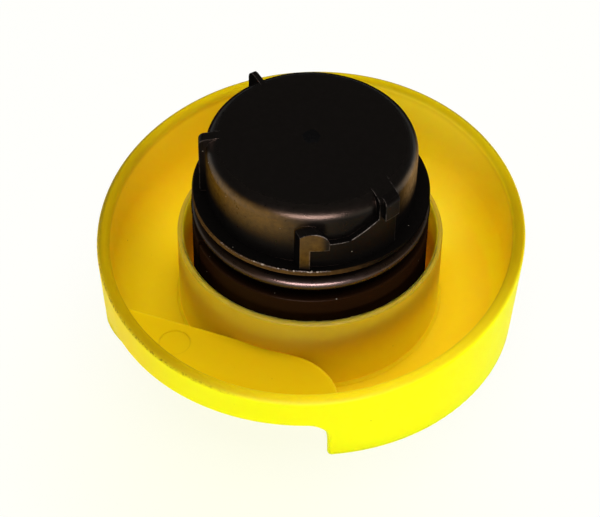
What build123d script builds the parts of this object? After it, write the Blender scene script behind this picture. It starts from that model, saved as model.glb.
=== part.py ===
"""Oil filler cap with a bayonet plug, lying on its outer face as on a bench.

Millimetres, +Z up. The origin is on the plug's axis, on the flat outer face that the cap lies on.
The cap has three pieces: the cover and the plug, each moulded in one, and a rubber seal ring.
Polar angles are in degrees from +X, anticlockwise seen from above.
"""
import os
from math import acos, cos, degrees, radians, sin, tan

from build123d import *

# Cover: a round skirt whose rim leans, so the skirt is shortest beside the finger scoop
rim_radius = 40.2
rim_height = 20.0
rim_lean = 5.8
rim_lean_angle = 64.5
skirt_draft = 3.2
lip_thickness = 2.4
lip_edge_radius = 1.15
floor_thickness = 3.0
outer_edge_radius = 1.0
cove_radius = 9.0

# Finger scoop: a pocket moulded into the outer face, with its own back wall, ceiling and step
scoop_height = 9.2
scoop_tilt = 2.2
scoop_collar_overlap = 0.75
scoop_heading = -19.6
scoop_step_offset = 3.65
scoop_corner_radius = 9.3
scoop_run_out_radius = 18.0
scoop_wall = 2.0
scoop_ceiling = 2.7
scoop_inner_radius = 3.6
scoop_edge_radius = 0.8
panel_edge_radius = 0.9
ejector_mark_diameter = 5.8
ejector_mark_depth = 0.2
ejector_mark_distance = 33.1
ejector_mark_angle = -137.7

# Collar on the cover's floor, around the plug
collar_height = 17.0
collar_wall = 1.15
collar_gap = 1.7
collar_edge_radius = 0.5
collar_foot = 0.6  # slope at the collar's root, as wide as it is high

# Plug: base, seal groove, flange and closed cup
base_radius = 22.0
base_height = 20.3
base_wall = 2.0
base_edge_radius = 0.4
groove_width = 6.4
flange_thickness = 0.9
flange_setback = 0.1
wall_setback = 2.7
wall_thickness = 2.0
closed_end_thickness = 2.2
closed_end_edge_radius = 3.0
slot_angle = -158.7
slot_width = 1.0
slot_depth = 0.8

# Locating ring on the cover's floor, inside the plug's base
locating_ring_height = 4.0
locating_ring_wall = 1.5
locating_clearance = 0.1

# Seal ring
seal_section = 2.8
seal_stand_out = 0.1
seal_clearance = 0.05
seal_rise = 3.45

# Bayonet cam: heights are measured from the top of the flange
cam_draw_angle = -66.0
land_reach = 1.2
cam_reach = 2.2
cam_angle = -95.0
leg_width = 1.65
hump_width = 4.9
arm_underside = 4.9
hump_shoulder = 8.0
hump_crown = 8.9
hump_end = 6.7
hump_cover = 3.5
ramp_low = 5.3
ramp_high = 8.15
ramp_start_angle = -70.3
ramp_end_angle = -54.1
land_end_angle = -42.6
stop_angle = -52.4
stop_underside = 8.1
ramp_foot_radius = 2.0
cam_edge_radius = 1.0

# Guide ribs: place, heading of their flat sides, width, reach from the plug's wall and top rounding
guide_ribs = [(182.2, 193.6, 2.0, 1.15, 1.0), (122.0, 119.0, 1.05, 2.3, 2.0)]

# Levels and radii that follow from the sizes above, and the margins that cutting tools run past
tolerance = 0.01
spare = 1.0
reach_out = 2 * rim_radius
skirt_slope = tan(radians(skirt_draft))
skirt_base_radius = rim_radius - rim_height * skirt_slope
blank_height = rim_height + reach_out * tan(radians(rim_lean))
base_top = floor_thickness + base_height
flange_under = base_top + groove_width
flange_top = flange_under + flange_thickness
plug_top = flange_top + hump_crown + hump_cover
base_inner_radius = base_radius - base_wall
flange_radius = base_radius - flange_setback
wall_radius = base_radius - wall_setback
seal_radius = base_radius + seal_stand_out - seal_section / 2
groove_radius = seal_radius - seal_section / 2 - seal_clearance
collar_inner_radius = base_radius + collar_gap
collar_radius = collar_inner_radius + collar_wall
scoop_distance = collar_radius - scoop_collar_overlap + scoop_wall


def polar(radius, angle):
    """Point at a polar angle, as x and y."""
    return radius * cos(radians(angle)), radius * sin(radians(angle))


def disc(radius, bottom, top):
    """Upright cylinder on the axis, between two levels."""
    return Pos(0, 0, bottom) * Cylinder(radius, top - bottom, align=(Align.CENTER, Align.CENTER, Align.MIN))


def flare(bottom_radius, bottom, top):
    """Upright cone on the axis that widens upwards with the skirt's draft."""
    height = top - bottom
    top_radius = bottom_radius + height * skirt_slope
    cone = Cone(bottom_radius, top_radius, height, align=(Align.CENTER, Align.CENTER, Align.MIN))
    return Pos(0, 0, bottom) * cone


def round_bottom(solid, radius):
    """Round the lowest edge of a solid."""
    return fillet(solid.edges().sort_by(Axis.Z)[0], radius)


def round_corner(face, point, radius):
    """Round the corner of a flat outline that is nearest to a point."""
    return fillet(face.vertices().sort_by_distance(point)[0], radius)


def edges_on(solid, plane):
    """Edges of a solid that lie in a plane."""
    def is_on(edge):
        return all(abs(plane.to_local_coords(edge @ place).Z) < tolerance for place in (0.25, 0.5, 0.75))
    return [edge for edge in solid.edges() if is_on(edge)]


def scoop_plan(grow):
    """Outline of the scoop from above, grown by a wall thickness on its inner sides."""
    along = Vector(cos(radians(scoop_heading)), sin(radians(scoop_heading)))
    outward = Vector(along.Y, -along.X)
    step = scoop_step_offset + grow
    on_wall = outward * (scoop_distance - grow)
    corner = on_wall + along * ((step - on_wall.X) / along.X)
    start = on_wall - along * reach_out
    points = [start, corner, Vector(step, -reach_out), Vector(start.X, -reach_out)]
    plan = make_face(Polyline(*points, close=True))
    return round_corner(plan, corner, scoop_corner_radius + grow)


def scoop_opening():
    """Outline of the scoop's pocket, blended into the skirt where it runs out."""
    skirt_radius = skirt_base_radius + scoop_height * skirt_slope
    turn = degrees(acos((scoop_distance - scoop_run_out_radius) / (skirt_radius - scoop_run_out_radius)))
    wall_angle = scoop_heading - 90
    end_angle = wall_angle - turn
    middle = Vector(*polar(skirt_radius - scoop_run_out_radius, end_angle))
    on_wall = middle + Vector(*polar(scoop_run_out_radius, wall_angle))
    halfway = middle + Vector(*polar(scoop_run_out_radius, wall_angle - turn / 2))
    on_skirt = Vector(*polar(skirt_radius, end_angle))
    past_skirt = on_skirt + Vector(*polar(reach_out, end_angle - 90))
    past_wall = on_wall - Vector(*polar(reach_out, scoop_heading))
    blend = [ThreePointArc(on_wall, halfway, on_skirt), Polyline(on_skirt, past_skirt, past_wall, on_wall)]
    return scoop_plan(0) + make_face(blend)


def make_collar():
    """Collar round the plug, with a rounded top and a sloped foot."""
    top = floor_thickness + collar_height
    foot_radius = collar_radius + collar_foot
    outline = [
        (collar_inner_radius, floor_thickness / 2),
        (foot_radius, floor_thickness / 2),
        (foot_radius, floor_thickness),
        (collar_radius, floor_thickness + collar_foot),
        (collar_radius, top),
        (collar_inner_radius, top),
    ]
    section = make_face(Polyline(*outline, close=True))
    section = round_corner(section, (collar_radius, top), collar_edge_radius)
    section = round_corner(section, (collar_inner_radius, top), collar_edge_radius)
    return revolve(Plane.XZ * section, Axis.Z)


def make_cover():
    """Yellow cover: dish with a leaning rim, finger scoop, collar and locating ring."""
    envelope = round_bottom(flare(skirt_base_radius, 0, blank_height), outer_edge_radius)
    hollow_radius = skirt_base_radius - lip_thickness + floor_thickness * skirt_slope
    hollow = round_bottom(flare(hollow_radius, floor_thickness, blank_height + spare), cove_radius)

    panel_top = scoop_height + scoop_ceiling
    panel = extrude(scoop_plan(scoop_wall), panel_top)
    panel = fillet(panel.edges().group_by(Axis.Z)[-1], panel_edge_radius)
    tilt = radians(scoop_tilt)
    ceiling = Plane(origin=(scoop_step_offset, 0, scoop_height), z_dir=(-sin(tilt), 0, cos(tilt)))
    pocket = extrude(Pos(0, 0, -spare) * scoop_opening(), panel_top + spare)
    pocket = split(pocket, bisect_by=ceiling, keep=Keep.BOTTOM)
    pocket = fillet(edges_on(pocket, ceiling), scoop_inner_radius)

    lean = tan(radians(rim_lean))
    rim_plane = Plane(
        origin=(0, 0, rim_height),
        z_dir=(-lean * cos(radians(rim_lean_angle)), -lean * sin(radians(rim_lean_angle)), 1),
    )
    skirt = split(envelope - hollow, bisect_by=rim_plane, keep=Keep.BOTTOM)
    skirt = fillet(edges_on(skirt, rim_plane), lip_edge_radius)

    ring_radius = base_inner_radius - locating_clearance
    ring_top = floor_thickness + locating_ring_height
    ring = disc(ring_radius, floor_thickness / 2, ring_top) - disc(ring_radius - locating_ring_wall, 0, ring_top)

    cover = skirt + (panel & envelope) + make_collar() + ring - pocket
    scoop_reach = skirt_base_radius - outer_edge_radius - scoop_edge_radius
    mouth = [edge for edge in edges_on(cover, Plane.XY) if edge.center().length < scoop_reach]
    cover = fillet(mouth, scoop_edge_radius)
    mark_x, mark_y = polar(ejector_mark_distance, ejector_mark_angle)
    mark = disc(ejector_mark_diameter / 2, panel_top - ejector_mark_depth, panel_top + spare)
    return cover - Pos(mark_x, mark_y, 0) * mark


def make_cup():
    """Body of the plug, turned about the axis."""
    bore = wall_radius - wall_thickness
    shelf = base_top - base_wall
    outline = [
        (base_inner_radius, floor_thickness),
        (base_radius, floor_thickness),
        (base_radius, base_top),
        (groove_radius, base_top),
        (groove_radius, flange_under),
        (flange_radius, flange_under),
        (flange_radius, flange_top),
        (wall_radius, flange_top),
        (wall_radius, plug_top),
        (0, plug_top),
        (0, plug_top - closed_end_thickness),
        (bore, plug_top - closed_end_thickness),
        (bore, shelf),
        (base_inner_radius, shelf),
    ]
    section = make_face(Polyline(*outline, close=True))
    section = round_corner(section, (wall_radius, plug_top), closed_end_edge_radius)
    section = round_corner(section, (base_radius, base_top), base_edge_radius)
    section = round_corner(section, (bore, plug_top - closed_end_thickness), wall_thickness / 2)
    return revolve(Plane.XZ * section, Axis.Z)


def room_out_to(radius, rounding):
    """Room for raised features out to one radius, with the top edge rounded off."""
    room = disc(radius, flange_under, plug_top)
    return fillet(room.edges().sort_by(Axis.Z)[-1], rounding)


def make_cam():
    """Bayonet cam: a land under a ramp, with a hooked leg at one end and a stop at the other."""
    land_radius = wall_radius + land_reach
    cam_radius = wall_radius + cam_reach
    root = flange_under + flange_thickness / 2
    outward = polar(1, cam_draw_angle)
    draw_plane = Plane(origin=(0, 0, flange_top), x_dir=(-outward[1], outward[0], 0), z_dir=(*outward, 0))

    def across(radius, angle):
        return radius * sin(radians(angle - cam_draw_angle))

    leg_left = across(cam_radius, cam_angle)
    leg_right = leg_left + leg_width
    hump_right = leg_left + hump_width
    ramp_start = across(land_radius, ramp_start_angle)
    ramp_end = across(land_radius, ramp_end_angle)
    land_end = across(land_radius, land_end_angle)
    foot = root - flange_top
    head = plug_top - flange_top

    land = make_face(
        Polyline(
            (leg_left + leg_width / 2, foot),
            (leg_left + leg_width / 2, ramp_low),
            (ramp_start, ramp_low),
            (ramp_end, ramp_high),
            (ramp_end, head),
            (land_end, head),
            (land_end, foot),
            close=True,
        )
    )
    land = round_corner(land, (ramp_start, ramp_low), ramp_foot_radius)

    crown = ((leg_left + hump_right) / 2, hump_crown)
    hook_outline = [
        Polyline(
            (hump_right, hump_end),
            (hump_right, arm_underside),
            (leg_right, arm_underside),
            (leg_right, foot),
            (leg_left, foot),
            (leg_left, hump_shoulder),
        ),
        ThreePointArc((leg_left, hump_shoulder), crown, (hump_right, hump_end)),
    ]
    hook = make_face(hook_outline)
    stop_left = across(cam_radius, stop_angle)
    stop_points = [(stop_left, stop_underside), (stop_left, head), (land_end, head), (land_end, stop_underside)]
    stop = make_face(Polyline(*stop_points, close=True))

    def level(outline, radius):
        return extrude(draw_plane * outline, 2 * radius) & room_out_to(radius, cam_edge_radius)

    return level(land, land_radius) + level(hook, cam_radius) + level(stop, cam_radius)


def make_rib(angle, heading, width, reach, rounding):
    """Upright guide rib from the flange to the closed end."""
    radius = wall_radius + reach
    bar = Box(radius, width, plug_top, align=(Align.CENTER, Align.CENTER, Align.MIN))
    return Pos(*polar(radius, angle)) * Rot(0, 0, heading) * bar & room_out_to(radius, rounding)


def make_plug():
    """Black plug: turned body with its cam, guide ribs and a slot in the base."""
    bore = disc(wall_radius - wall_thickness / 2, 0, plug_top - closed_end_thickness / 2)
    plug = make_cup()
    for raised in [make_cam()] + [make_rib(*rib) for rib in guide_ribs]:
        plug += raised - bore
    slot = Box(2 * slot_depth, slot_width, base_height, align=(Align.CENTER, Align.CENTER, Align.MIN))
    slot = Rot(0, 0, slot_angle) * Pos(base_radius, 0, base_top - base_height) * slot
    return plug - slot


def make_seal():
    """Rubber ring in the groove between the base and the flange."""
    return Pos(0, 0, base_top + seal_rise) * Torus(seal_radius, seal_section / 2)


os.makedirs("parts", exist_ok=True)
for name, piece in [("cover", make_cover()), ("bayonet_plug", make_plug()), ("seal_ring", make_seal())]:
    piece.label = name
    export_step(piece, f"parts/{name}.step")
    print(name, len(piece.solids()), "solids", round(piece.volume, 1), "mm3")
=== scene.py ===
"""Looks of the oil filler cap: yellow moulded cover, black bayonet plug and rubber seal ring.

Metres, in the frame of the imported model: +Z up, the origin on the plug's axis under the cover.
Materials and small pieces are laid out in millimetres, as the cap's sizes are.
Polar angles are in degrees from +X, anticlockwise seen from above.
"""
from math import cos, radians, sin, tan
from random import Random

import bmesh
import bpy
from mathutils import Matrix, Vector, noise


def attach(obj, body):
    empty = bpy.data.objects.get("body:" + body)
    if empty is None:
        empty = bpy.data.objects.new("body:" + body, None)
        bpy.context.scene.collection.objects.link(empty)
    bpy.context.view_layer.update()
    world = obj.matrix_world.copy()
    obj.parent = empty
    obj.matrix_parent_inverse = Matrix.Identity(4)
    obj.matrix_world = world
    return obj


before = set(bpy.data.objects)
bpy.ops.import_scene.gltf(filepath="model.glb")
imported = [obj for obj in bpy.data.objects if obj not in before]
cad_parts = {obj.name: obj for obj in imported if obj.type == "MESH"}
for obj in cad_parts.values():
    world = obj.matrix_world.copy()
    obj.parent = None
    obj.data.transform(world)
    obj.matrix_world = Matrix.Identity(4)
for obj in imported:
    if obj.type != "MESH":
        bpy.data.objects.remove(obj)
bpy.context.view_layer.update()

MM = 0.001

# Photograph's frame and the camera that fits it
IMAGE_WIDTH = 600
FOCAL_PIXELS = 2141.5
SENSOR_WIDTH = 36.0
CAMERA_PLACE = Vector((-1.80, -281.6, 305.6)) * MM
CAMERA_ELEVATION = 46.27
CAMERA_ROLL = -0.9

# Stage
FLOOR_SIZE = 6.0
FLOOR_SHINE_THROUGH = 0.95
FLOOR_PAINT = (0.9, 0.9, 0.89, 1)
FLOOR_WHITE = (1.0, 1.0, 0.97, 1)
# Painted yellow bounce light from the cap on the floor beside it
FLOOR_BOUNCE_YELLOW = (1.0, 1.0, 0.83, 1)
BOUNCE_MIDDLE = Vector((-10.0, -36.0, 0.0)) * MM
BOUNCE_REACH = 66.0 * MM
WORLD_STRENGTH = 0.05

# Sizes of the cap that the looks follow, in millimetres and degrees
RIM_HEIGHT = 20.0
RIM_LEAN = 5.8
RIM_LEAN_ANGLE = 64.5
SKIRT_INSIDE = 34.0
COLLAR_RADIUS = 24.85
COLLAR_INNER_RADIUS = 23.7
COLLAR_TOP = 20.0
FLOOR_TOP = 3.0
PANEL_TOP = 11.9
EJECTOR_MARK_RADIUS = 2.9
EJECTOR_MARK_DISTANCE = 33.1
EJECTOR_MARK_ANGLE = -137.7
SCOOP_HEADING = -19.6
SCOOP_WALL_MIDDLE = 25.2
SCOOP_STEP_MIDDLE = 4.6
FLANGE_RADIUS = 21.9
FLANGE_TOP = 30.6
PLUG_TOP = 43.0
PLUG_WALL_RADIUS = 19.3
BASE_TOP = 23.3
HOOK_ANGLE = 268.0
HOOK_RADIUS = 21.5

# Sides of the cap where painted light and shade, wear or dirt differ, as polar angles
FRONT_SIDE = 288.0
LEFT_SIDE = 183.0
BACK_SIDE = 95.0
BACK_RIGHT_SIDE = 64.0
BACK_LIP_SIDE = 50.0
RIGHT_SIDE = 4.0
GRIME_SIDE = 205.0
WARM_SHEEN_SIDE = 226.0
PALE_WARM_SHEEN_SIDE = 352.0
FLANGE_REFLECTION_SIDE = 235.0
SEAL_SHEEN_SIDE = 275.0

# Colours of the cover; its tones by side and zone are mostly painted light and shade
DARK_GOLD = (0.77, 0.555, 0.007, 1)
LIGHT_GOLD = (0.87, 0.63, 0.013, 1)
# Painted shade on the left of the inside; painted light at the back, the back right and the right wall
LEFT_SHADE_GOLD = (0.66, 0.49, 0.005, 1)
BACK_LIT_GOLD = (0.90, 0.72, 0.014, 1)
BACK_RIGHT_LIT_GOLD = (0.93, 0.81, 0.04, 1)
RIGHT_WALL_LIT_GOLD = (0.82, 0.72, 0.006, 1)
PANEL_GOLD = (0.66, 0.46, 0.003, 1)
EJECTOR_MARK_BROWN = (0.30, 0.19, 0.002, 1)
COLLAR_GOLD = (0.93, 0.585, 0.012, 1)
# Painted shade: the collar's upper part is deeper orange
COLLAR_SHADE_ORANGE = (1.0, 0.42, 0.012, 1)
COLLAR_EDGE_BROWN = (0.52, 0.31, 0.022, 1)
# Painted glow of light through the thin collar, on its inner wall
COLLAR_INSIDE_GLOW = (1.0, 0.60, 0.02, 1)
# Painted light and shade on the outside: lighter lemon at the front, deeper on the sides
SIDE_SHADE_LEMON = (0.98, 0.70, 0.005, 1)
FRONT_LIT_LEMON = (1.0, 0.93, 0.002, 1)
# Painted shade on the rounded lip, darker than the walls, in tones that change by side
SIDE_LIP_SHADE = (0.38, 0.26, 0.001, 1)
BACK_LIP_SHADE = (0.56, 0.41, 0.003, 1)
BACK_RIGHT_LIP_SHADE = (0.54, 0.41, 0.003, 1)
FRONT_LIP_SHADE = (0.88, 0.70, 0.012, 1)
GRIME = (0.13, 0.10, 0.004, 1)

# Colours of the plug, its torn edges and the seal, some of them painted sheen, reflection and highlight,
# and the tints of their gloss
PLUG_BLACK = (0.0022, 0.0018, 0.0016, 1)
SCUFFED_BLACK = (0.0045, 0.0038, 0.0034, 1)
BASE_BROWN = (0.016, 0.006, 0.002, 1)
# Painted warm sheen on the plug's wall, paler on the right
WARM_SHEEN = (0.122, 0.060, 0.007, 1)
PALE_WARM_SHEEN = (0.25, 0.15, 0.06, 1)
# Painted reflection of the yellow cover on the flange's edge
FLANGE_REFLECTION = (0.16, 0.08, 0.022, 1)
# Pale edges: rubbing, and a painted edge highlight
RUBBED_AND_HIGHLIGHT_GREY = (0.30, 0.25, 0.22, 1)
DUST = (0.30, 0.27, 0.22, 1)
TORN_BLACK = (0.03, 0.018, 0.009, 1)
TORN_BROWN = (0.16, 0.10, 0.06, 1)
# Painted highlight on the chips
CHIP_HIGHLIGHT_WHITE = (0.62, 0.52, 0.42, 1)
SCAR_BLACK = (0.0004, 0.0004, 0.0004, 1)
SCAR_GREY = (0.003, 0.003, 0.003, 1)
RUBBER_BLACK = (0.004, 0.0026, 0.002, 1)
RUBBER_BROWN = (0.011, 0.0065, 0.004, 1)
PLUG_SHEEN = (1.0, 0.78, 0.58, 1)
OILY_SHEEN = (1.0, 0.58, 0.32, 1)
SEAL_SHEEN = (1.0, 0.77, 0.66, 1)

# Ragged fins and chips, in millimetres and degrees
FIN_LEAST_HEIGHT = 0.02
FIN_SHOULDER = 0.6
FIN_RUN_OUT_STEPS = 4
FLASH_ARC = (-138.0, -80.0)
FLASH_STEPS = 230
BURR_ARC = (-170.0, -10.0)
BURR_STEPS = 520
CHIP_ANGLES = (-117.0, -112.5, -105.0, -100.5, -97.5, -94.0, -92.5, -91.0, -89.5, -86.5, -85.0)
CHIP_SEED = 11
CHIP_ROUGHNESS = 0.10

# Scar of the moulding gate, in millimetres
SCAR_REACH = 1.8
SCAR_RINGS = 14
SCAR_SPOKES = 48


class Graph:
    """A node tree with short calls for adding nodes and linking them."""

    def __init__(self, tree):
        self.tree = tree
        tree.nodes.clear()

    def add(self, kind, inputs=None, **settings):
        """Add a node, set its properties, and set or link its inputs."""
        node = self.tree.nodes.new(kind)
        for name, value in settings.items():
            setattr(node, name, value)
        for name, value in (inputs or {}).items():
            self.feed(node.inputs[name], value)
        return node

    def feed(self, socket, value):
        """Link a socket to an output, or set it to a constant."""
        if isinstance(value, bpy.types.NodeSocket):
            self.tree.links.new(value, socket)
        else:
            socket.default_value = value

    def show(self, shader, kind="ShaderNodeOutputMaterial"):
        """Send a shader to the tree's output."""
        self.feed(self.add(kind).inputs["Surface"], shader.outputs[0])

    def math(self, operation, first, second=0.0):
        """Result of a sum with one or two terms."""
        return self.add("ShaderNodeMath", {0: first, 1: second}, operation=operation).outputs[0]

    def times(self, *factors):
        """Product of several factors."""
        result = factors[0]
        for factor in factors[1:]:
            result = self.math("MULTIPLY", result, factor)
        return result

    def most(self, *values):
        """Largest of several values."""
        result = values[0]
        for value in values[1:]:
            result = self.math("MAXIMUM", result, value)
        return result

    def band(self, value, low, high):
        """Ramp that goes smoothly from 0 at low to 1 at high, or down where high is the smaller one."""
        rising = high > low
        inputs = {
            "Value": value,
            "From Min": min(low, high),
            "From Max": max(low, high),
            "To Min": 0.0 if rising else 1.0,
            "To Max": 1.0 if rising else 0.0,
        }
        return self.add("ShaderNodeMapRange", inputs, interpolation_type="SMOOTHSTEP").outputs["Result"]

    def spread(self, value, low, high):
        """Value between 0 and 1, laid out from low to high."""
        inputs = {"Value": value, "To Min": low, "To Max": high}
        return self.add("ShaderNodeMapRange", inputs).outputs["Result"]

    def mix(self, factor, first, second):
        """Blend of two colours."""
        node = self.add("ShaderNodeMix", data_type="RGBA")
        self.feed(node.inputs["Factor"], factor)
        self.feed(node.inputs[6], first)
        self.feed(node.inputs[7], second)
        return node.outputs[2]

    def overlay(self, colour, layers):
        """Colour with layers over it, each a share and a colour, from the lowest to the uppermost."""
        for share, tone in layers:
            colour = self.mix(share, colour, tone)
        return colour

    def dot(self, vector, direction):
        """Length of a vector along a direction."""
        node = self.add("ShaderNodeVectorMath", {0: vector, 1: direction}, operation="DOT_PRODUCT")
        return node.outputs["Value"]

    def distance(self, vector, point):
        """Distance from a point."""
        node = self.add("ShaderNodeVectorMath", {0: vector, 1: point}, operation="DISTANCE")
        return node.outputs["Value"]

    def stretch(self, vector, factors):
        """Vector with its parts multiplied by factors."""
        return self.add("ShaderNodeVectorMath", {0: vector, 1: factors}, operation="MULTIPLY").outputs[0]

    def noise(self, vector, scale, detail=3.0, roughness=0.5):
        """Noise between 0 and 1, at a scale per millimetre."""
        inputs = {"Vector": vector, "Scale": scale, "Detail": detail, "Roughness": roughness}
        return self.add("ShaderNodeTexNoise", inputs).outputs["Fac"]

    def specks(self, vector, scale, size, share):
        """Scattered round specks, of a size in cells, in a share of the cells of a grid."""
        cells = self.add("ShaderNodeTexVoronoi", {"Vector": vector, "Scale": scale})
        chosen = self.band(self.dot(cells.outputs["Color"], (1, 0, 0)), share, share - 0.02)
        return self.times(chosen, self.band(cells.outputs["Distance"], size, size / 2))

    def facing(self):
        """0 where a surface faces the ray that meets it, up to 1 at its outline."""
        return self.add("ShaderNodeLayerWeight", {"Blend": 0.5}).outputs["Facing"]

    def bump(self, height, strength, normal=None):
        """Normal of a surface with a height pattern in tenths of a millimetre."""
        node = self.add("ShaderNodeBump", {"Height": height, "Strength": strength, "Distance": 0.1 * MM})
        if normal:
            self.feed(node.inputs["Normal"], normal)
        return node.outputs[0]


class Place:
    """Where a point of a surface lies on the cap, in millimetres, and which way it faces."""

    def __init__(self, graph):
        coordinates = graph.add("ShaderNodeTexCoord").outputs
        self.graph = graph
        self.spot = graph.stretch(coordinates["Object"], (1 / MM, 1 / MM, 1 / MM))
        self.normal = coordinates["Normal"]
        self.x = graph.dot(self.spot, (1, 0, 0))
        self.z = graph.dot(self.spot, (0, 0, 1))
        flat = graph.stretch(self.spot, (1, 1, 0))
        self.radius = graph.add("ShaderNodeVectorMath", {0: flat}, operation="LENGTH").outputs["Value"]
        self.way_out = graph.add("ShaderNodeVectorMath", {0: flat}, operation="NORMALIZE").outputs[0]
        self.outward = graph.dot(self.normal, self.way_out)
        self.upward = graph.dot(self.normal, (0, 0, 1))

    def side(self, angle, low, high):
        """Share of one side of the cap, between two cosines of the turn away from its polar angle."""
        towards = self.graph.dot(self.way_out, (cos(radians(angle)), sin(radians(angle)), 0))
        return self.graph.band(towards, low, high)


def surface(name):
    """New material with its graph and its Principled shader."""
    material = bpy.data.materials.new(name)
    material.use_nodes = True
    graph = Graph(material.node_tree)
    shader = graph.add("ShaderNodeBsdfPrincipled")
    graph.show(shader)
    return material, graph, shader


def pocket_share(graph, place):
    """1 on the walls of the finger scoop's pocket, which belong to the outside."""
    heading = radians(SCOOP_HEADING)
    outward = (sin(heading), -cos(heading), 0)
    ways = (outward, (-1, 0, 0), (0, 0, -1))
    facing = graph.most(*[graph.dot(place.normal, way) for way in ways])
    return graph.times(
        graph.band(graph.dot(place.spot, outward), SCOOP_WALL_MIDDLE, SCOOP_WALL_MIDDLE + 0.4),
        graph.band(place.x, SCOOP_STEP_MIDDLE + 0.4, SCOOP_STEP_MIDDLE),
        graph.band(place.z, PANEL_TOP - 0.9, PANEL_TOP - 1.9),
        graph.band(facing, 0.2, 0.5),
    )


class CoverZones:
    """Shares from 0 to 1 that say in which zones of the cover a point lies."""

    def __init__(self, graph, place):
        self.skirt = graph.band(place.radius, SKIRT_INSIDE, SKIRT_INSIDE + 1.5)
        self.outside = graph.most(
            graph.times(graph.band(place.outward, 0.1, 0.6), self.skirt),
            graph.band(place.upward, -0.5, -0.9),
            pocket_share(graph, place),
        )
        self.add_lip(graph, place)
        self.add_panel(graph, place)
        self.add_collar(graph, place)

    def add_lip(self, graph, place):
        """Rounded lip of the skirt, the lip's outer edge, and the part of that edge at the back."""
        lean = tan(radians(RIM_LEAN))
        lean_angle = radians(RIM_LEAN_ANGLE)
        down = (lean * cos(lean_angle), lean * sin(lean_angle), -1)
        under_rim = graph.math("ADD", graph.dot(place.spot, down), RIM_HEIGHT)
        inside = graph.times(
            graph.band(under_rim, 2.2, 0.2),
            graph.band(place.outward, 0.3, -0.2),
            graph.spread(place.side(BACK_LIP_SIDE, 0.3, 0.9), 1.0, 0.45),
        )
        self.lip = graph.times(graph.most(graph.band(under_rim, 1.0, 0.1), inside), self.skirt)
        self.lip_edge = graph.times(
            graph.band(under_rim, 0.2, 0.5),
            graph.band(under_rim, 1.1, 0.7),
            graph.band(place.outward, 0.2, 0.6),
            self.skirt,
        )
        self.back_edge = graph.times(
            graph.band(place.outward, 0.15, 0.45),
            graph.band(under_rim, 1.0, 0.6),
            place.side(FRONT_SIDE, 0.1, -0.5),
            self.skirt,
        )

    def add_panel(self, graph, place):
        """Raised panel over the scoop, and the ring round the ejector-pin mark on it."""
        self.panel = graph.times(
            graph.band(place.upward, 0.7, 0.95),
            graph.band(place.z, PANEL_TOP - 1.2, PANEL_TOP - 0.6),
            graph.band(place.z, PANEL_TOP + 0.9, PANEL_TOP + 0.3),
            graph.band(place.radius, COLLAR_RADIUS + 0.02, COLLAR_RADIUS + 0.12),
        )
        angle = radians(EJECTOR_MARK_ANGLE)
        from_axis = Vector((cos(angle), sin(angle), 0)) * EJECTOR_MARK_DISTANCE
        away = graph.distance(place.spot, from_axis + Vector((0, 0, PANEL_TOP)))
        self.mark_ring = graph.times(
            graph.band(away, EJECTOR_MARK_RADIUS - 0.25, EJECTOR_MARK_RADIUS - 0.05),
            graph.band(away, EJECTOR_MARK_RADIUS + 0.2, EJECTOR_MARK_RADIUS),
        )

    def add_collar(self, graph, place):
        """Collar with all that lies within it, its upper part, thin top, top edge and inner wall."""
        self.within_collar = graph.band(place.radius, COLLAR_RADIUS + 0.12, COLLAR_RADIUS + 0.02)
        upper = graph.band(place.z, FLOOR_TOP + 5, FLOOR_TOP + 14)
        thin = graph.band(place.z, FLOOR_TOP + 9, FLOOR_TOP + 14)
        edge = graph.band(place.z, COLLAR_TOP - 0.8, COLLAR_TOP - 0.2)
        self.collar = graph.times(self.within_collar, upper)
        self.thin_collar = graph.times(self.within_collar, thin)
        self.collar_edge = graph.times(self.within_collar, edge)
        self.collar_inside = graph.times(
            graph.band(place.radius, COLLAR_INNER_RADIUS + 0.6, COLLAR_INNER_RADIUS + 0.3),
            graph.band(place.outward, -0.4, -0.8),
        )


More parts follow.
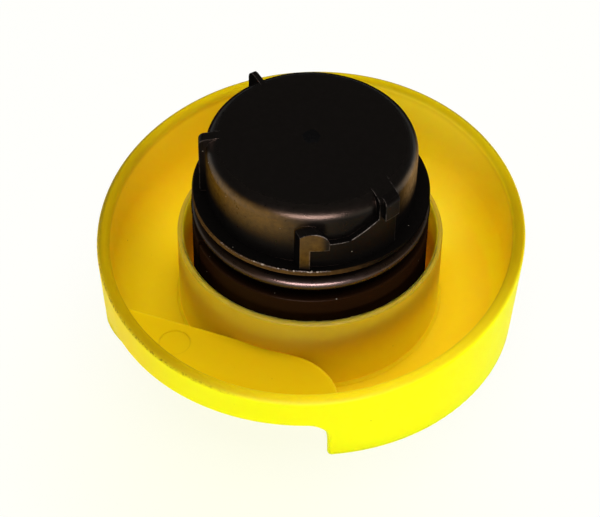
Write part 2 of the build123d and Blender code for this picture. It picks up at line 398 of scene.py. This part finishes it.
def cover_colour(graph, place, zones):
    """Golden inside and lemon outside, with painted light, shade and glow by side and zone, and some
    grime.
    """
    clouds = graph.noise(place.spot, 0.05, 4.0)
    # Painted light and shade on the outside: lighter at the front, deeper on the sides
    lemon = graph.mix(place.side(FRONT_SIDE, 0.2, 0.8), SIDE_SHADE_LEMON, FRONT_LIT_LEMON)
    # Painted shade on the lip, in tones that change by side
    lip_shade = graph.mix(place.side(FRONT_SIDE, -0.6, -1.05), SIDE_LIP_SHADE, BACK_LIP_SHADE)
    lip_shade = graph.mix(place.side(FRONT_SIDE, 0.42, 1.25), lip_shade, FRONT_LIP_SHADE)
    back_right = graph.times(place.side(BACK_LIP_SIDE, 0.7, 0.95), 0.7)
    lip_shade = graph.mix(back_right, lip_shade, BACK_RIGHT_LIP_SHADE)
    dirt = graph.times(graph.specks(place.spot, 0.45, 0.06, 0.14), graph.spread(clouds, 0.3, 1.0))
    grime = graph.times(
        zones.lip_edge,
        graph.spread(graph.band(graph.noise(place.spot, 1.8, 3.0, 0.6), 0.45, 0.65), 0.25, 0.85),
        place.side(GRIME_SIDE, 0.6, 0.95),
    )
    layers = [
        # Painted light and shade: darker on the left, lighter at the back, the back right and the right
        # wall
        (graph.times(place.side(LEFT_SIDE, 0.72, 1.0), 0.8), LEFT_SHADE_GOLD),
        (graph.times(place.side(BACK_SIDE, 0.2, 0.9), 0.85), BACK_LIT_GOLD),
        (graph.times(place.side(BACK_RIGHT_SIDE, 0.6, 0.98), 0.9), BACK_RIGHT_LIT_GOLD),
        (graph.times(place.side(RIGHT_SIDE, 0.8, 1.0), zones.skirt, 0.7), RIGHT_WALL_LIT_GOLD),
        (zones.within_collar, COLLAR_GOLD),
        (zones.panel, PANEL_GOLD),
        (graph.times(zones.mark_ring, 0.22), EJECTOR_MARK_BROWN),
        # Painted shade on the collar's upper part
        (zones.collar, COLLAR_SHADE_ORANGE),
        (zones.collar_edge, COLLAR_EDGE_BROWN),
        # Painted glow on the collar's inner wall
        (zones.collar_inside, COLLAR_INSIDE_GLOW),
        (zones.outside, lemon),
        # Painted shade on the lip
        (zones.lip, lip_shade),
        # The same dark olive also darkens the lip's outer edge at the back
        (graph.most(dirt, grime, graph.times(zones.back_edge, 0.6)), GRIME),
    ]
    return graph.overlay(graph.mix(clouds, DARK_GOLD, LIGHT_GOLD), layers)


def cover_plastic():
    """Yellow plastic that lets light through, most of all at the collar's thin top."""
    material, graph, shader = surface("cover_plastic")
    place = Place(graph)
    zones = CoverZones(graph, place)
    wear = graph.noise(graph.stretch(place.spot, (1.0, 1.0, 0.3)), 0.6, 5.0, 0.6)
    peel = graph.bump(graph.noise(place.spot, 0.35), 0.25)
    graph.feed(shader.inputs["Base Color"], cover_colour(graph, place, zones))
    graph.feed(shader.inputs["Roughness"], graph.spread(wear, 0.42, 0.66))
    graph.feed(shader.inputs["Specular IOR Level"], 0.12)
    graph.feed(shader.inputs["Subsurface Weight"], 1.0)
    graph.feed(shader.inputs["Subsurface Radius"], (1.0, 0.75, 0.1))
    graph.feed(shader.inputs["Subsurface Scale"], graph.spread(zones.thin_collar, 4.0 * MM, 9.0 * MM))
    graph.feed(shader.inputs["Normal"], graph.bump(graph.noise(place.spot, 3.0), 0.12, peel))
    return material


def rubbed_and_highlight_share(graph, place, scuffs, rounded):
    """1 along the sharp edges above the flange, less at the top and where they face down: rubbing, and a
    painted edge highlight.
    """
    inner_room = graph.add(
        "ShaderNodeAmbientOcclusion", {"Distance": 0.3 * MM}, samples=8, inside=True, only_local=True
    )
    return graph.times(
        graph.band(inner_room.outputs["AO"], 0.82, 0.6),
        graph.spread(graph.band(graph.dot(rounded, (0, 0, 1)), 0.1, 0.5), 0.15, 1.0),
        graph.band(place.z, FLANGE_TOP + 0.2, FLANGE_TOP + 0.8),
        graph.spread(graph.band(place.z, PLUG_TOP - 1.5, PLUG_TOP - 3.0), 0.18, 1.0),
        graph.band(scuffs, 0.36, 0.58),
    )


def dust_share(graph, place):
    """1 on specks of dust, which keep off the plug's flat top."""
    large = graph.specks(place.spot, 0.3, 0.05, 0.55)
    small = graph.specks(place.spot, 1.3, 0.12, 0.06)
    return graph.times(graph.most(large, small), graph.band(place.z, PLUG_TOP - 0.6, PLUG_TOP - 2.0))


def painted_sheen(graph, place, scuffs):
    """Share and colour of a painted warm sheen on two sides of the plug's wall and on the hook."""
    on_wall = graph.times(
        graph.band(place.radius, PLUG_WALL_RADIUS + 0.5, PLUG_WALL_RADIUS + 0.2),
        graph.band(place.z, FLANGE_TOP + 2.9, FLANGE_TOP + 9.4),
        graph.band(place.z, PLUG_TOP - 0.9, PLUG_TOP - 2.4),
    )
    on_hook = graph.times(
        graph.band(place.radius, HOOK_RADIUS - 0.5, HOOK_RADIUS - 0.2),
        graph.band(place.outward, 0.8, 0.95),
        graph.band(place.z, FLANGE_TOP, FLANGE_TOP + 3.0),
        place.side(HOOK_ANGLE, 0.985, 0.995),
    )
    pale = place.side(PALE_WARM_SHEEN_SIDE, 0.85, 1.0)
    sides = graph.most(place.side(WARM_SHEEN_SIDE, 0.70, 1.0), pale)
    covered = graph.most(graph.times(on_wall, sides), graph.times(on_hook, 0.65))
    return graph.times(covered, graph.spread(scuffs, 0.1, 1.7)), graph.mix(pale, WARM_SHEEN, PALE_WARM_SHEEN)


def flange_reflection_share(graph, place, scuffs):
    """1 where the flange's edge carries a painted brown reflection of the yellow cover."""
    return graph.times(
        graph.band(place.radius, FLANGE_RADIUS - 0.3, FLANGE_RADIUS - 0.1),
        graph.band(place.z, BASE_TOP + 5.0, BASE_TOP + 5.6),
        place.side(FLANGE_REFLECTION_SIDE, 0.3, 0.9),
        scuffs,
    )


def plug_gloss(graph, place, base):
    """Strength of the plug's gloss: most on its rounded top edge, less low down and on the base."""
    top_edge = graph.times(
        graph.band(place.z, PLUG_TOP - 3.0, PLUG_TOP - 1.6),
        graph.band(place.radius, PLUG_WALL_RADIUS + 0.4, PLUG_WALL_RADIUS + 0.1),
    )
    wall = graph.times(
        graph.spread(graph.band(place.z, FLANGE_TOP + 2.0, FLANGE_TOP + 8.0), 0.3, 1.0),
        graph.spread(place.side(WARM_SHEEN_SIDE, 0.4, 0.95), 0.2, 0.85),
    )
    clean = graph.most(top_edge, wall)
    return graph.times(graph.band(graph.facing(), 0.66, 0.34), clean, graph.spread(base, 0.34, 0.14))


def plug_plastic():
    """Black plastic with a satin gloss: dusty, pale along its edges from rubbing and a painted edge
    highlight, with a painted warm sheen on two sides.
    """
    material, graph, shader = surface("plug_plastic")
    place = Place(graph)
    scuffs = graph.noise(place.spot, 1.1, 5.0, 0.65)
    streaks = graph.noise(graph.stretch(place.spot, (1.0, 1.0, 0.12)), 0.9, 4.0, 0.6)
    rounded = graph.add("ShaderNodeBevel", {"Radius": 0.14 * MM}, samples=6).outputs[0]
    base = graph.band(place.z, BASE_TOP + 0.4, BASE_TOP - 0.2)
    top = graph.band(place.upward, 0.93, 0.99)
    worn = graph.spread(graph.times(streaks, scuffs), 0.24, 0.48)
    layers = [
        (base, BASE_BROWN),
        # Painted warm sheen on two sides of the wall and on the hook
        painted_sheen(graph, place, scuffs),
        # Painted reflection on the flange's edge
        (flange_reflection_share(graph, place, scuffs), FLANGE_REFLECTION),
        # Rubbed edges, and a painted edge highlight
        (rubbed_and_highlight_share(graph, place, scuffs, rounded), RUBBED_AND_HIGHLIGHT_GREY),
        (dust_share(graph, place), DUST),
    ]
    colour = graph.overlay(graph.mix(scuffs, PLUG_BLACK, SCUFFED_BLACK), layers)
    graph.feed(shader.inputs["Base Color"], colour)
    graph.feed(shader.inputs["Roughness"], graph.times(worn, graph.spread(top, 1.0, 0.7)))
    graph.feed(shader.inputs["Specular IOR Level"], plug_gloss(graph, place, base))
    graph.feed(shader.inputs["Specular Tint"], PLUG_SHEEN)
    graph.feed(shader.inputs["Normal"], graph.bump(graph.noise(place.spot, 5.0, 2.0), 0.25, rounded))
    return material


def chipped_plastic():
    """Torn black plastic, pale where it is stretched thin."""
    material, graph, shader = surface("chipped_plastic")
    place = Place(graph)
    torn = graph.band(graph.noise(place.spot, 2.2, 4.0, 0.7), 0.45, 0.62)
    graph.feed(shader.inputs["Base Color"], graph.mix(torn, TORN_BLACK, TORN_BROWN))
    graph.feed(shader.inputs["Roughness"], graph.spread(torn, 0.45, 0.7))
    graph.feed(shader.inputs["Normal"], graph.bump(graph.noise(place.spot, 6.0), 0.5))
    return material


def pale_plastic():
    """Chips of plastic, brown with white patches that are a painted highlight."""
    material, graph, shader = surface("pale_plastic")
    place = Place(graph)
    torn = graph.noise(place.spot, 3.0, 4.0, 0.7)
    # Brown chips with a painted white highlight in patches
    graph.feed(shader.inputs["Base Color"], graph.mix(torn, TORN_BROWN, CHIP_HIGHLIGHT_WHITE))
    graph.feed(shader.inputs["Roughness"], graph.spread(torn, 0.4, 0.7))
    graph.feed(shader.inputs["Normal"], graph.bump(torn, 0.5))
    return material


def scar_plastic():
    """Dull black plastic of the moulding gate's scar."""
    material, graph, shader = surface("scar_plastic")
    place = Place(graph)
    rough = graph.noise(place.spot, 4.0, 4.0, 0.7)
    graph.feed(shader.inputs["Base Color"], graph.mix(rough, SCAR_BLACK, SCAR_GREY))
    graph.feed(shader.inputs["Roughness"], graph.spread(rough, 0.45, 0.75))
    graph.feed(shader.inputs["Specular IOR Level"], 0.15)
    graph.feed(shader.inputs["Normal"], graph.bump(rough, 0.6))
    return material


def seal_rubber():
    """Oiled black rubber with a fine moulding grain, glossiest at the front."""
    material, graph, shader = surface("seal_rubber")
    place = Place(graph)
    film = graph.noise(place.spot, 0.7, 4.0, 0.6)
    wiped = graph.spread(place.side(SEAL_SHEEN_SIDE, 0.5, 0.95), 0.26, 0.75)
    gloss = graph.times(graph.band(graph.facing(), 0.68, 0.34), wiped)
    sheen = graph.mix(place.side(SEAL_SHEEN_SIDE, 0.80, 1.0), OILY_SHEEN, SEAL_SHEEN)
    graph.feed(shader.inputs["Base Color"], graph.mix(film, RUBBER_BLACK, RUBBER_BROWN))
    graph.feed(shader.inputs["Roughness"], graph.spread(film, 0.22, 0.36))
    graph.feed(shader.inputs["Specular IOR Level"], gloss)
    graph.feed(shader.inputs["Specular Tint"], sheen)
    graph.feed(shader.inputs["Normal"], graph.bump(graph.noise(place.spot, 4.0, 2.0), 0.15))
    return material


def dress(node, material):
    """Give a CAD node its material."""
    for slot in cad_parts[node].material_slots:
        slot.material = material


def make_piece(name, mesh_data, material):
    """Turn mesh data in millimetres into a smooth piece that rides with the cap."""
    bmesh.ops.scale(mesh_data, vec=(MM, MM, MM), verts=mesh_data.verts)
    bmesh.ops.recalc_face_normals(mesh_data, faces=mesh_data.faces)
    for face in mesh_data.faces:
        face.smooth = True
    mesh = bpy.data.meshes.new(name)
    mesh_data.to_mesh(mesh)
    mesh_data.free()
    piece = bpy.data.objects.new(name, mesh)
    bpy.context.scene.collection.objects.link(piece)
    mesh.materials.append(material)
    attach(piece, "root")


def make_ragged_ring(name, arc, steps, section, height_at, material):
    """Thin ragged fin along an arc, on a section of inner radius, outer radius and foot."""
    start, end = arc
    inner, outer, foot = section
    middle = (inner + outer) / 2
    mesh = bmesh.new()
    rows = []
    for step in range(steps + 1):
        angle = start + (end - start) * step / steps
        way = Vector((cos(radians(angle)), sin(radians(angle)), 0))
        run_out = min(1.0, step / FIN_RUN_OUT_STEPS, (steps - step) / FIN_RUN_OUT_STEPS)
        crest = max(FIN_LEAST_HEIGHT, height_at(angle) * run_out)
        shoulder = foot + FIN_SHOULDER * crest
        outline = [
            (inner, foot),
            (inner, shoulder),
            (middle, foot + crest),
            (outer, shoulder),
            (outer, foot),
        ]
        rows.append([mesh.verts.new(way * radius + Vector((0, 0, level))) for radius, level in outline])
    corners = len(rows[0])
    for near, far in zip(rows, rows[1:]):
        for corner in range(corners):
            after = (corner + 1) % corners
            mesh.faces.new((near[corner], near[after], far[after], far[corner]))
    mesh.faces.new(rows[0])
    mesh.faces.new(reversed(rows[-1]))
    make_piece(name, mesh, material)


def ragged(angle, seed, fineness):
    """Uneven height between 0 and 1 along an arc."""
    broad = noise.noise(Vector((angle * fineness, seed, 0.5)))
    fine = noise.noise(Vector((angle * 3 * fineness, seed, 7.5)))
    return max(0.0, min(1.0, 0.5 + broad + 0.5 * fine))


def make_flange_flash(material):
    """Torn flash that stands on the flange's front edge."""
    def height(angle):
        return 0.06 + 0.30 * ragged(angle, 3.1, 0.35) ** 2
    section = (FLANGE_RADIUS - 0.16, FLANGE_RADIUS + 0.02, FLANGE_TOP - 0.05)
    make_ragged_ring("flange_flash", FLASH_ARC, FLASH_STEPS, section, height, material)


def make_flange_chips(material):
    """Pale chips of plastic that cling to the flange's front edge."""
    draw = Random(CHIP_SEED)
    # Without a seed, noise_vector gives other values each run
    noise.seed_set(CHIP_SEED)
    mesh = bmesh.new()
    for angle in CHIP_ANGLES:
        size = draw.uniform(0.08, 0.20)
        place = Matrix.Translation(
            (FLANGE_RADIUS * cos(radians(angle)), FLANGE_RADIUS * sin(radians(angle)), FLANGE_TOP + 0.1)
        )
        turn = Matrix.Rotation(radians(angle + draw.uniform(60, 120)), 4, "Z")
        shape = Matrix.Diagonal((1.5 * size, 0.7 * size, 0.8 * size, 1))
        chip = bmesh.ops.create_icosphere(mesh, subdivisions=3, radius=1.0, matrix=place @ turn @ shape)
        for vertex in chip["verts"]:
            vertex.co += CHIP_ROUGHNESS * noise.noise_vector(vertex.co * 5.0)
    make_piece("flange_chips", mesh, material)


def make_collar_burr(material):
    """Fine burr along the collar's inner top edge."""
    def height(angle):
        return 0.05 + 0.22 * ragged(angle, 8.4, 0.5) ** 2
    section = (COLLAR_INNER_RADIUS + 0.25, COLLAR_INNER_RADIUS + 0.45, COLLAR_TOP - 0.08)
    make_ragged_ring("collar_burr", BURR_ARC, BURR_STEPS, section, height, material)


def make_gate_scar(material):
    """Rough broken spot where the plug's moulding gate was snapped off."""
    mesh = bmesh.new()
    middle = mesh.verts.new((0, 0, PLUG_TOP + 0.05))
    rows = []
    for ring in range(1, SCAR_RINGS + 1):
        share = ring / SCAR_RINGS
        row = []
        for spoke in range(SCAR_SPOKES):
            angle = radians(360) * spoke / SCAR_SPOKES
            way = Vector((cos(angle), sin(angle), 0))
            edge = SCAR_REACH * (1 + 0.22 * noise.noise(way * 1.7))
            spot = way * edge * share
            level = 0.16 * abs(noise.noise(spot * 2.6)) + 0.10 * abs(noise.noise(spot * 6.0))
            fall = 1 - share ** 4
            row.append(mesh.verts.new(spot + Vector((0, 0, PLUG_TOP - 0.02 + (0.03 + level) * fall))))
        rows.append(row)
    for spoke in range(SCAR_SPOKES):
        after = (spoke + 1) % SCAR_SPOKES
        mesh.faces.new((middle, rows[0][spoke], rows[0][after]))
        for near, far in zip(rows, rows[1:]):
            mesh.faces.new((near[spoke], far[spoke], far[after], near[after]))
    make_piece("gate_scar", mesh, material)


def make_camera():
    """Camera at the photograph's place, looking along +Y and down."""
    data = bpy.data.cameras.new("camera")
    data.sensor_width = SENSOR_WIDTH
    data.lens = FOCAL_PIXELS / IMAGE_WIDTH * SENSOR_WIDTH
    camera = bpy.data.objects.new("camera", data)
    bpy.context.scene.collection.objects.link(camera)
    tilt = radians(CAMERA_ELEVATION)
    roll = radians(CAMERA_ROLL)
    right = Vector((1, 0, 0))
    up = Vector((0, sin(tilt), cos(tilt)))
    back = Vector((0, -cos(tilt), sin(tilt)))
    across = right * cos(roll) - up * sin(roll)
    upward = right * sin(roll) + up * cos(roll)
    turn = Matrix((across, upward, back)).transposed().to_4x4()
    camera.matrix_world = Matrix.Translation(CAMERA_PLACE) @ turn
    bpy.context.scene.camera = camera


def make_floor():
    """White floor that keeps a soft shadow, with painted yellow bounce light from the cap beside it."""
    bpy.ops.mesh.primitive_plane_add(size=FLOOR_SIZE)
    floor = bpy.context.object
    floor.name = "floor"
    material = bpy.data.materials.new("floor_white")
    material.use_nodes = True
    graph = Graph(material.node_tree)
    paths = graph.add("ShaderNodeLightPath").outputs
    seen = graph.most(paths["Is Camera Ray"], paths["Is Glossy Ray"], paths["Is Transmission Ray"])
    away = graph.distance(graph.add("ShaderNodeTexCoord").outputs["Object"], BOUNCE_MIDDLE)
    # Painted yellow bounce light near the cap
    white = graph.mix(graph.band(away, BOUNCE_REACH, 0.0), FLOOR_WHITE, FLOOR_BOUNCE_YELLOW)
    matte = graph.add("ShaderNodeBsdfDiffuse", {"Color": FLOOR_PAINT})
    glow = graph.add("ShaderNodeEmission", {"Color": white, "Strength": 1.0})
    share = graph.times(seen, FLOOR_SHINE_THROUGH)
    graph.show(graph.add("ShaderNodeMixShader", {0: share, 1: matte.outputs[0], 2: glow.outputs[0]}))
    floor.data.materials.append(material)


def make_light(name, place, target, size, power, colour=(1, 1, 1), mirrored=False):
    """Soft light aimed at a point: either it lights surfaces, or it is only mirrored in them."""
    data = bpy.data.lights.new(name, "AREA")
    data.shape = "RECTANGLE"
    data.size, data.size_y = size
    data.energy = power
    data.color = colour
    light = bpy.data.objects.new(name, data)
    bpy.context.scene.collection.objects.link(light)
    light.location = place
    light.visible_glossy = mirrored
    light.visible_diffuse = not mirrored
    light.rotation_mode = "QUATERNION"
    light.rotation_quaternion = (Vector(target) - Vector(place)).to_track_quat("-Z", "Y")


def make_world():
    """Even dim surroundings."""
    world = bpy.data.worlds.new("surroundings")
    world.use_nodes = True
    graph = Graph(world.node_tree)
    sky = graph.add("ShaderNodeBackground", {"Color": (1, 1, 1, 1), "Strength": WORLD_STRENGTH})
    graph.show(sky, "ShaderNodeOutputWorld")
    bpy.context.scene.world = world


yellow = cover_plastic()
dress("cover", yellow)
dress("bayonet_plug", plug_plastic())
dress("seal_ring", seal_rubber())
make_gate_scar(scar_plastic())
make_flange_flash(chipped_plastic())
make_flange_chips(pale_plastic())
make_collar_burr(yellow)

make_camera()
make_floor()
make_world()
make_light("overhead", (0.06, 0.03, 1.0), (0, 0, 0.02), (1.2, 1.2), 15.0)
make_light("low_front", (0.1, -0.7, 0.06), (0, 0, 0.01), (0.9, 0.1), 2.0)
make_light("low_left", (-0.7, -0.1, 0.06), (0, 0, 0.01), (0.6, 0.1), 0.8)
make_light("low_right", (0.7, -0.2, 0.06), (0, 0, 0.01), (0.6, 0.1), 0.8)
make_light("front_strip", (0, -1.0, 0.21), (0, 0, 0.04), (0.8, 0.24), 24.0, (1.0, 0.82, 0.9), True)

bpy.context.scene.view_settings.view_transform = "Standard"
